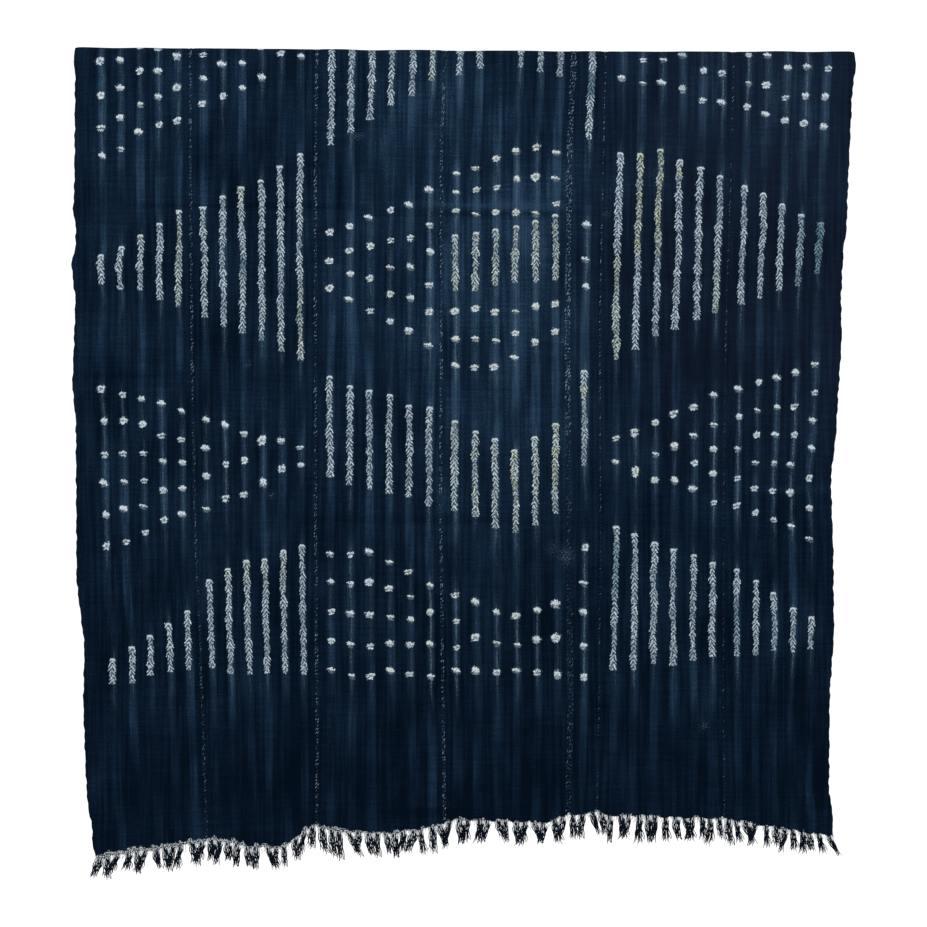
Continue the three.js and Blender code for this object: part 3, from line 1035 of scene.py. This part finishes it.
def make_line_group():
    """A gathered and stitched line: nested peaks that the dye could not reach."""
    n, given = make_group(
        "resist_line", ("Across", "Along", "Column", "Below top", "Above low"), ("Mark", "Fill", "Rim"))
    column, s = given["Column"], given["Along"]
    own = column * 7.3
    x = given["Across"] - n.sway(s * (1 / 60), own, LINE_WANDER)
    swell = n.noise(s * (1 / 11), own + 3.1)
    half = n.step(swell, 0.25, 0.75, *LINE_HALF)
    lean = n.sway(s * (1 / 10), own + 5.7, PEAK_LEAN, detail=0.0)
    reach = abs(x)
    from_peak = abs(x - lean)
    crumple = n.sway((x + own * 9) * 0.3, s * 0.26, CRUMPLE)

    rung = (s - from_peak * ARM_RISE + crumple) / ARM_PITCH
    arm = n.fade(abs(n.math("FRACT", rung) - 0.5), 0.1, 0.33)
    crossing = (s + from_peak * CROSSING_RISE + crumple * -1.3) / CROSSING_PITCH
    crossing = n.step(abs(n.math("FRACT", crossing) - 0.5), 0.05, 0.24, 0.6, 0.0)
    side = n.math("GREATER_THAN", x, 0.0)
    strength, other, _ = n.random(n.math("FLOOR", rung), side, column)
    lumps = n.noise((x + own) * 0.6, s * 0.52)
    faint = n.noise(s * (1 / 26), own + 9.4)
    arm = arm * (0.62 + strength * 0.5) * n.step(lumps, 0.32, 0.6, 0.42, 1.12)
    arm = arm * n.step(faint, 0.32, 0.56, 0.6, 1.05)
    arm = n.math("MAXIMUM", arm, crossing * n.math("GREATER_THAN", other, 0.62))

    limit = half * (0.74 + arm * 0.38)
    ends = n.step(n.math("MINIMUM", given["Below top"], given["Above low"]), -0.6, 0.8)
    fill = n.step(limit - reach, -0.5, 0.5) * ends
    bow = 1.2 + reach * reach * 0.13
    cap = n.fade(abs(given["Below top"] - bow), 0.5, 1.8) * n.fade(reach, 2.8, 4.6)
    rim = n.fade(reach - limit, 0.0, 2.4) * ends * (1.0 - fill)
    hole = n.step(from_peak, 0.5, 2.3, 0.8, 0.0) * n.step(lumps, 0.42, 0.6, 1.0, 0.15)
    n.give_out(Mark=n.math("MAXIMUM", fill * arm, cap * ends), Fill=fill * (1.0 - hole), Rim=rim)
    return n.tree


# A tied dot, in millimetres: how far it strays along its column and across, how far its outline is
# pulled about, its dome's place, half width and least and greatest half height, and its bar's
DOT_STRAYS = (6.0, 2.6)
DOT_PULL = 5.0
DOME = {"drop": 1.4, "wide": 4.6, "tall": (2.1, 3.8)}
BAR = {"drop": 4.8, "wide": 4.1, "tall": 1.4}


def make_dot_group():
    """Small tied resists: a domed or flat patch of undyed cloth, often with a bar below it."""
    n, given = make_group("resist_dot", ("Across", "Count", "Column", "Dotted"), ("Mark", "Halo"))
    shifted = given["Count"] + LEAD
    number = n.math("FLOOR", shifted)
    part = n.math("FRACT", shifted) - LEAD
    first, second, third = n.random(number, given["Column"])
    y = part * DOT_PITCH + (first - 0.5) * DOT_STRAYS[0]
    x = given["Across"] + (second - 0.5) * DOT_STRAYS[1]
    seed = number * 13.7 + given["Column"] * 29.1
    sideways = n.sway((x + seed) * 0.36, y * 0.36, DOT_PULL)
    upright = n.sway(y * 0.4, (x - seed) * 0.4, DOT_PULL)
    x = x + sideways
    y = y + upright + x * ((third - 0.5) * 0.45)
    size = 0.9 + second * 0.28

    def oval(drop, wide, tall):
        across = x / (size * wide)
        down = (y - drop) / tall
        return n.math("SQRT", across * across + down * down), down

    dome, below = oval(DOME["drop"], DOME["wide"], n.step(first, 0.2, 0.6, *DOME["tall"]))
    hollow = 1.0 - n.fade(dome, 0.2, 0.62) * n.step(third, 0.3, 0.9, 0.1, 0.75)
    dome_mark = n.fade(dome, 0.82, 1.12) * n.fade(below, 0.15, 0.75) * hollow
    bar, _ = oval(BAR["drop"], BAR["wide"], BAR["tall"])
    bar_mark = n.fade(bar, 0.6, 1.15) * n.step(third, 0.2, 0.7, 0.15, 1.0)
    mark = n.math("MAXIMUM", dome_mark, bar_mark)
    n.give_out(Mark=mark * given["Dotted"], Halo=n.fade(dome, 0.9, 1.6) * given["Dotted"])
    return n.tree


# The pale run of a column, in millimetres: how far it wanders, and from where to where its band,
# the soft left side of that band and its thread of light fade out beside its middle
RUN_WANDER = 2.4
BAND_FADES = (3.3, 4.9)
SOFT_SIDE_FADES = (1.5, 6.0)
THREAD_FADES = (0.5, 1.9)


def make_trace_group():
    """The pale run down a tied column: a broad band with a thread of light in its middle."""
    n, given = make_group("column_trace", ("Across", "Along", "Column", "Trace"), ("Band", "Thread"))
    s, trace = given["Along"], given["Trace"]
    own = given["Column"] * 11.3
    x = given["Across"] - (COLUMN_OFFSET + n.sway(s * (1 / 50), own, RUN_WANDER))
    reach = abs(x)
    blotch = n.noise((x + own) * 0.24, s * 0.035, detail=3.0)
    fleck = n.noise((x + own) * 0.75, s * 0.45)
    fibre = n.noise((x + own) * 0.8, s * 0.02)
    soft_side = n.step(x * -1.0, *SOFT_SIDE_FADES, 1.0, 0.15)
    body = n.step(blotch, 0.32, 0.68, 0.05, 0.85) * n.step(fibre, 0.32, 0.66, 0.4, 1.15)
    flecked = body + n.step(fleck, 0.48, 0.72) * 0.7
    band = n.fade(reach, *BAND_FADES) * (trace**1.5 * soft_side) * flecked
    thread = n.fade(reach, *THREAD_FADES) * trace**3.0
    thread = thread * n.step(blotch, 0.34, 0.6, 0.35, 1.0) * n.step(fleck, 0.4, 0.62, 0.15, 1.0)
    n.give_out(Band=band, Thread=thread)
    return n.tree


# Unevenness of the dye, by how wide and how long its swells are in millimetres: clouds, runs down
# the warp, bars along the weft, and specks
DYE_SWELLS = [
    {"wide": 60, "long": 110, "detail": 3.0, "much": 0.7},
    {"wide": 4.5, "long": 110, "detail": 2.0, "much": 0.7},
    {"wide": 70, "long": 3.4, "detail": 1.0, "much": 0.22},
    {"wide": 1.7, "long": 2.2, "detail": 1.0, "much": 0.5},
]

# The paler stripe of each column: from where to where it fades out beside it, and how pale it is
STRIPE_FADES = (3.8, 6.8)
STRIPE_PALE = (0.02, 0.34)

# How pale the even dye is, how much painted light and shade the creases add, and how much washes add
DYE_LEVEL = 0.3
CREASE_SHADING = 0.32
WASH_PALE = 0.5


def make_dye_and_crease_shading_group():
    """How lightly the cloth is dyed: its swells and paler stripes that follow the columns, with painted
    light and shade along the creases.
    """
    n, given = make_group(
        "indigo_depth_and_crease_shading", ("Across", "Along", "Beside column", "Column", "Pale", "Crease"), ("Tone",))
    x, s = given["Across"], given["Along"]
    swells = [
        n.sway(x * (1 / swell["wide"]), s * (1 / swell["long"]), swell["much"], swell["detail"])
        for swell in DYE_SWELLS
    ]
    waver = n.noise(s * (1 / 120), given["Column"] * 5.9)
    stripe = n.fade(abs(given["Beside column"] - COLUMN_OFFSET), *STRIPE_FADES)
    stripe = stripe * n.step(waver, 0.3, 0.75, *STRIPE_PALE)
    # The creases add painted light where they stand out and painted shade where they sink
    tone = sum(swells[1:], swells[0]) + (stripe + given["Crease"] * CREASE_SHADING)
    tone = tone + given["Pale"] * WASH_PALE
    n.give_out(Tone=n.math("ADD", tone, DYE_LEVEL, clamp=True))
    return n.tree


def make_finish(name, roughness, specular):
    """A material, its nodes and its Principled shader."""
    material = bpy.data.materials.new(name)
    material.use_nodes = True
    shader = material.node_tree.nodes["Principled BSDF"]
    shader.inputs["Roughness"].default_value = roughness
    shader.inputs["Specular IOR Level"].default_value = specular
    return material, Nodes(material.node_tree), shader


def add_bump(nodes, shader, height, distance, strength):
    bump = nodes.add("ShaderNodeBump")
    for value, name in ((distance, "Distance"), (strength, "Strength"), (height, "Height")):
        nodes.put(value, bump.inputs[name])
    nodes.put(nodes.signals(bump)["Normal"], shader.inputs["Normal"])


def add_ramp(nodes, value, stops):
    node = nodes.add("ShaderNodeValToRGB")
    ramp = node.color_ramp
    while len(ramp.elements) < len(stops):
        ramp.elements.new(0.5)
    for element, (place, colour) in zip(ramp.elements, stops):
        element.position = place
        element.color = linear(*colour)
    nodes.put(value, node.inputs[0])
    return nodes.signals(node)["Color"]


# Colours of the finishes. Where a colour goes by a tone, its stops run from the darkest to the palest.
INDIGO = ((0.0, (2, 12, 26)), (0.3, (9, 24, 41)), (0.6, (19, 39, 60)), (1.0, (46, 72, 98)))
YARN_TONES = (
    (0.0, (4, 10, 20)), (0.3, (12, 22, 36)), (0.55, (36, 50, 66)), (0.8, (116, 128, 140)),
    (1.0, (236, 240, 242)),
)
THREAD_TONES = ((0.0, (12, 24, 38)), (0.35, (36, 56, 78)), (1.0, (146, 172, 200)))
GATHERED_EDGE = linear(4, 14, 27)
RUN_BLUE = linear(54, 79, 99)
REDDER_INDIGO = linear(25, 30, 47)
THREAD_OF_LIGHT = linear(88, 108, 127)
UNDYED = {"plain": linear(220, 238, 249), "cool": linear(136, 166, 180), "warm": linear(232, 239, 206)}
PART_DYED = {"plain": linear(78, 97, 116), "cool": linear(38, 76, 92), "warm": linear(99, 114, 104)}
BRIGHTEST = linear(236, 244, 248)
RUBBED_NAP = linear(118, 142, 164)
HEM_FUZZ = linear(216, 222, 228)
WARP_PITCH = 0.85
WEFT_PITCH = 1.25

# The cloth is a little redder at its upper right: where this grows across and goes down the cloth
REDDER_ACROSS = (60.0, 330.0)
REDDER_DOWN = (330.0, 620.0)
REDDER_MUCH = 0.34


def make_cloth_finish(weave, line, dot, trace, dye_and_crease_shading):
    material, n, shader = make_finish("indigo_cloth", roughness=0.92, specular=0.03)
    place = n.split(n.signals(n.add("ShaderNodeUVMap", uv_map="UVMap"))["UV"])
    x = place["X"] * (1 / MM)
    s = place["Y"] * (1 / MM)
    column, pale, cool = n.attribute("column"), n.attribute("pale"), n.attribute("cool")
    number = n.math("ROUND", column)
    beside = (column - number) * COLUMN_PITCH
    woven = use_group(n, weave, across=x, along=s, warp_pitch=WARP_PITCH, weft_pitch=WEFT_PITCH)
    lines = use_group(n, line, across=beside, along=s, column=number,
                      below_top=n.attribute("below_top"), above_low=n.attribute("above_low"))
    dots = use_group(n, dot, across=beside, count=n.attribute("dots"), column=number,
                     dotted=n.attribute("dotted"))
    runs = use_group(n, trace, across=beside, along=s, column=number, trace=n.attribute("trace"))
    # Its tone carries the creases' painted light and shade as well as the dye
    depth = use_group(n, dye_and_crease_shading, across=x, along=s, beside_column=beside, column=number, pale=pale,
                      crease=n.attribute("crease"))

    ground = add_ramp(n, depth["Tone"] * 0.9 + woven["Tone"] * 0.12, INDIGO)
    ground = n.mix(lines["Rim"] * 0.6, ground, GATHERED_EDGE)
    ground = n.mix(runs["Band"] * (0.42 + pale * 0.65), ground, RUN_BLUE)
    redder = n.step(x, *REDDER_ACROSS, 0.0, REDDER_MUCH) * n.fade(s, *REDDER_DOWN)
    ground = n.mix(redder, ground, REDDER_INDIGO)

    grain = n.noise(x * (1 / 1.5), s * (1 / 1.7))
    spots = n.noise(x * (1 / 9), s * (1 / 13))
    worn = n.step(grain, 0.3, 0.58, 0.55, 1.0)
    warm = n.attribute("warm") * n.step(spots, 0.3, 0.65, 0.25, 1.0)
    undyed, part_dyed = (
        n.mix(warm, n.mix(cool, shades["plain"], shades["cool"]), shades["warm"])
        for shades in (UNDYED, PART_DYED)
    )
    colour = n.mix(runs["Thread"] * worn, ground, THREAD_OF_LIGHT)
    colour = n.mix(dots["Halo"] * 0.3, colour, part_dyed)
    colour = n.mix(lines["Fill"] * 0.85, colour, part_dyed)
    colour = n.mix(lines["Mark"] * worn, colour, undyed)
    tied = dots["Mark"] * n.step(grain, 0.3, 0.55, 0.45, 1.0)
    colour = n.mix(tied, colour, n.mix(0.3, undyed, BRIGHTEST))
    rubbed = n.math("MULTIPLY", n.attribute("scuff"), n.step(grain, 0.52, 0.66, 0.0, 0.8), clamp=True)
    colour = n.mix(rubbed, colour, RUBBED_NAP)
    from_hem = n.attribute("from_hem") - n.step(spots, 0.45, 0.7, 0.0, 3.2)
    fuzz = n.step(from_hem, 0.2, 1.6, 0.95, 0.0) * n.step(grain, 0.46, 0.62)
    colour = n.mix(fuzz, colour, HEM_FUZZ)
    n.put(colour, shader.inputs["Base Color"])
    n.put(0.97 - depth["Tone"] * 0.1, shader.inputs["Roughness"])
    relief = woven["Height"] * 0.4 + lines["Mark"] * 0.8
    add_bump(n, shader, relief, distance=0.0008, strength=0.5)
    return material


def make_yarn_finish():
    material, n, shader = make_finish("fringe_yarn", roughness=0.94, specular=0.03)
    place = n.split(n.object_place())
    x = place["X"] * (1 / MM)
    z = place["Z"] * (1 / MM)
    twist = n.math("SINE", (z + x) * 5.0)
    fuzz = n.noise(x * 0.9, z * 0.35, detail=2.0)
    tone = n.attribute("pale") * 0.32 + (fuzz - 0.5) * 1.1
    root = n.step(n.attribute("fall"), 0.12, 0.34, 1.15, 0.0) * n.step(fuzz, 0.3, 0.5, 0.6, 1.0)
    colour = add_ramp(n, n.math("ADD", tone + 0.12, root, clamp=True), YARN_TONES)
    n.put(colour, shader.inputs["Base Color"])
    add_bump(n, shader, twist * 0.3 + fuzz, distance=0.0003, strength=0.5)
    return material


def make_thread_finish():
    material, n, shader = make_finish("seam_thread", roughness=0.85, specular=0.1)
    fuzz = n.noise_at(n.object_place(), scale=900.0, detail=1.0)
    tone = n.math("ADD", n.attribute("pale"), (fuzz - 0.5) * 0.5, clamp=True)
    n.put(add_ramp(n, tone, THREAD_TONES), shader.inputs["Base Color"])
    add_bump(n, shader, fuzz, distance=0.0002, strength=0.4)
    return material


def dress(piece, material, slot, *nodes):
    """Gives a piece its finish, its body and any CAD nodes that it stands for; its slot is not used."""
    piece.data.materials.clear()
    piece.data.materials.append(material)
    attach(piece, "root")
    if nodes:
        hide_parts(*nodes)
    return piece


def build_cloth():
    cloth_finish = make_cloth_finish(
        make_weave_group(), make_line_group(), make_dot_group(), make_trace_group(), make_dye_and_crease_shading_group())
    yarn_finish = make_yarn_finish()
    thread_finish = make_thread_finish()

    stitch = make_stitch()
    sewing = {row["seam"]: dress(sew(row, stitch), thread_finish, "seam_thread") for row in SEWING}
    discard(stitch)

    yarn = make_yarn()
    locks = [make_lock(yarn, shape) for shape in LOCK_SHAPES]
    discard(yarn)
    for strip in STRIPS:
        number = strip["name"][-1]
        cloth = dress(make_strip(strip), cloth_finish, "indigo_cloth", strip["name"])
        with_pieces = [
            dress(make_fringe(strip, layer, locks), yarn_finish, "fringe_yarn", f"fringe_{layer}_{number}")
            for layer in LAYERS
        ]
        if strip["left"] in sewing:
            with_pieces.append(sewing[strip["left"]])
        width, length = flat_size(strip)
    for lock in locks:
        discard(lock)


def flat_size(strip):
    """The strip's width and its length from hem to hem, without the fringe, in metres."""
    _, _, down = lay(strip, np.array([0.5, 0.5]), np.array([0, FRONT_ROWS + FOLD_ROWS + BACK_ROWS]))
    left = edge_at(strip["left"], MEASURED_AT, LAYERS["front"])
    right = edge_at(strip["right"], MEASURED_AT, LAYERS["front"])
    return round(float(right - left) * MM, 3), round(float(down[0] - down[1]) * MM, 3)


# Floor, light and camera

# The photo: how many pixels it is wide, how many millimetres one of them stands for, and the height
# of its middle in metres
PHOTO_PIXELS = 927
PIXEL = 1.277
VIEW_HEIGHT = -0.5288
FRAME_WIDTH = PHOTO_PIXELS * PIXEL * MM
VIEW_MIDDLE = Vector((0, -FOLD_RADIUS * MM, VIEW_HEIGHT))
CAMERA_DISTANCE = 7.0
SENSOR = 36.0
FAR_CLIP = 50.0

FLOOR_HEIGHT = -1.30
FLOOR_SIZE = (2.6, 2.2, 1)
FLOOR_SHADES = (linear(236, 236, 234), linear(228, 228, 226))

# Two square lamps, in metres and watts, under an even sky that the camera sees brighter
AREA_LIGHTS = [
    {"name": "key", "place": (-1.9, -2.6, 1.1), "size": 1.6, "power": 34},
    {"name": "fill", "place": (2.4, -3.2, -0.4), "size": 2.4, "power": 14},
]
SKY_STRENGTH = 0.62
SKY_SEEN_STRONGER = 0.5


def make_floor():
    deselect()
    bpy.ops.mesh.primitive_plane_add(size=1, location=(0, 0, FLOOR_HEIGHT))
    floor = name_piece(bpy.context.object, "pale_floor")
    floor.scale = FLOOR_SIZE
    bpy.ops.object.transform_apply(location=True, rotation=True, scale=True)
    material, nodes, shader = make_finish("pale_floor", roughness=0.8, specular=0.5)
    grain = nodes.noise_at(nodes.object_place(), scale=40.0, detail=3.0)
    nodes.put(nodes.mix(grain, *FLOOR_SHADES), shader.inputs["Base Color"])
    floor.data.materials.append(material)


def link_new(name, data):
    thing = bpy.data.objects.new(name, data)
    bpy.context.scene.collection.objects.link(thing)
    return thing


def light_studio():
    world = bpy.data.worlds.new("white_studio")
    bpy.context.scene.world = world
    world.use_nodes = True
    nodes = Nodes(world.node_tree)
    background = world.node_tree.nodes["Background"]
    background.inputs["Color"].default_value = (1, 1, 1, 1)
    seen = nodes.signals(nodes.add("ShaderNodeLightPath"))["Is Camera Ray"]
    nodes.put(SKY_STRENGTH + seen * SKY_SEEN_STRONGER, background.inputs["Strength"])
    for row in AREA_LIGHTS:
        light = bpy.data.lights.new(row["name"], "AREA")
        light.shape = "SQUARE"
        light.size = row["size"]
        light.energy = row["power"]
        lamp = link_new(row["name"], light)
        lamp.location = row["place"]
        lamp.rotation_euler = (VIEW_MIDDLE - lamp.location).to_track_quat("-Z", "Y").to_euler()
    bpy.context.scene.view_settings.view_transform = "Standard"


def place_camera():
    camera_data = bpy.data.cameras.new("camera")
    camera_data.sensor_width = SENSOR
    camera_data.lens = SENSOR * CAMERA_DISTANCE / FRAME_WIDTH
    camera_data.clip_end = FAR_CLIP
    camera = link_new("camera", camera_data)
    camera.location = VIEW_MIDDLE + Vector((0, -CAMERA_DISTANCE, 0))
    camera.rotation_euler = (math.radians(90), 0, 0)
    bpy.context.scene.camera = camera


place_camera()
build_cloth()
make_floor()
light_studio()
